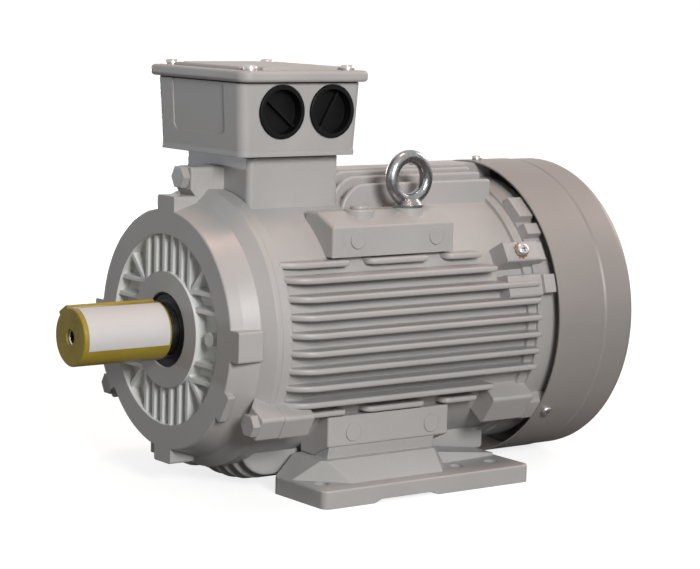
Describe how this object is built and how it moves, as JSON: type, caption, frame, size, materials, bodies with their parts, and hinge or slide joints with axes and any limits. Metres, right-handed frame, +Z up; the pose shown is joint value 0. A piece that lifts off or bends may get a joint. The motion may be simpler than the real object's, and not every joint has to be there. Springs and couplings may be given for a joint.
{
  "type": "electric motor",
  "caption": "Foot-mounted fan-cooled electric motor: finned frame, ribbed end shield, top terminal box with plugged cable entries, capped keyed shaft end and rear fan cowl.",
  "frame": {"origin": "centre of the long foot-hole rectangle, on the plane that the feet stand on", "axes": "+Z up, the shaft lies along Y at z = 0.132 m with its free end towards -Y, the cable entries face +X"},
  "size_m": [0.269, 0.4915, 0.3499],
  "materials": {
    "frame_paint": "satin",
    "foot_paint": "satin",
    "shield_paint": "satin",
    "box_paint": "satin",
    "cowl_paint": "satin",
    "painted_bolts": "satin",
    "zinc_screws": "satin",
    "zinc_eyebolts": "satin",
    "plug_steel": "satin",
    "copper_washer": "satin",
    "shaft_steel": "satin",
    "bearing_steel": "polished",
    "bearing_cage_steel": "satin",
    "spring_steel": "satin",
    "black_rubber": "matte",
    "gasket_rubber": "matte",
    "core_steel": "matte",
    "copper_winding": "satin",
    "cage_aluminium": "satin",
    "lead_insulation": "satin",
    "board_plastic": "satin",
    "terminal_brass": "satin",
    "fan_plastic": "matte",
    "cap_plastic": "satin",
    "plug_plastic": "satin"
  },
  "bodies": {
    "housing": {"frame_housing": "frame_paint", "right_foot": "foot_paint", "left_foot": "foot_paint", "foot_screws": "zinc_screws", "drive_end_shield": "shield_paint", "drive_end_shield_bolts": "painted_bolts", "drive_end_seal": "black_rubber", "drive_end_bearing_outer_ring": "bearing_steel", "drive_end_bearing_retainer": "spring_steel", "non_drive_end_shield": "shield_paint", "non_drive_end_shield_bolts": "zinc_screws", "non_drive_end_bearing_outer_ring": "bearing_steel", "bearing_preload_spring": "spring_steel", "stator_core": "core_steel", "stator_windings": "copper_winding", "winding_leads": "lead_insulation", "terminal_box_gasket": "gasket_rubber", "terminal_box_base": "box_paint", "terminal_box_screws": "zinc_screws", "lid_gasket": "gasket_rubber", "terminal_box_lid": "box_paint", "lid_screws": "zinc_screws", "terminal_board": "board_plastic", "terminal_studs": "terminal_brass", "terminal_links": "terminal_brass", "terminal_nuts": "terminal_brass", "cable_entry_plug_front": "plug_plastic", "cable_entry_plug_rear": "plug_plastic", "fan_cowl": "cowl_paint", "fan_cowl_screws": "zinc_screws", "right_lifting_eyebolt": "zinc_eyebolts", "left_lifting_eyebolt": "zinc_eyebolts", "lifting_hole_plugs": "plug_steel", "earth_screw": "zinc_screws", "earth_washer": "copper_washer"},
    "rotor": {"shaft": "shaft_steel", "rotor_core": "core_steel", "rotor_cage": "cage_aluminium", "drive_end_bearing_inner_ring": "bearing_steel", "non_drive_end_bearing_inner_ring": "bearing_steel", "cooling_fan": "fan_plastic", "fan_retaining_ring": "spring_steel", "rear_shaft_seal": "black_rubber"},
    "drive_end_ball_set": {"drive_end_bearing_balls": "bearing_steel", "drive_end_bearing_cage": "bearing_cage_steel"},
    "non_drive_end_ball_set": {"non_drive_end_bearing_balls": "bearing_steel", "non_drive_end_bearing_cage": "bearing_cage_steel"},
    "shaft_end_cap": {"shaft_cap": "cap_plastic"}
  },
  "joints": [
    {"name": "rotor_spin", "type": "hinge", "parent": "housing", "child": "rotor", "pos_m": [0, 0, 0.132], "axis": [0, 1, 0], "continuous": true},
    {"name": "drive_end_ball_set_spin", "type": "hinge", "parent": "housing", "child": "drive_end_ball_set", "pos_m": [0, -0.1485, 0.132], "axis": [0, 1, 0], "continuous": true},
    {"name": "non_drive_end_ball_set_spin", "type": "hinge", "parent": "housing", "child": "non_drive_end_ball_set", "pos_m": [0, 0.14, 0.132], "axis": [0, 1, 0], "continuous": true},
    {"name": "shaft_cap_pull", "type": "slide", "parent": "rotor", "child": "shaft_end_cap", "axis": [0, -1, 0], "range_m": [0, 0.2]}
  ],
  "couplings": [
    {"joint": "drive_end_ball_set_spin", "follows": "rotor_spin", "ratio": 0.38461},
    {"joint": "non_drive_end_ball_set_spin", "follows": "rotor_spin", "ratio": 0.4}
  ]
}
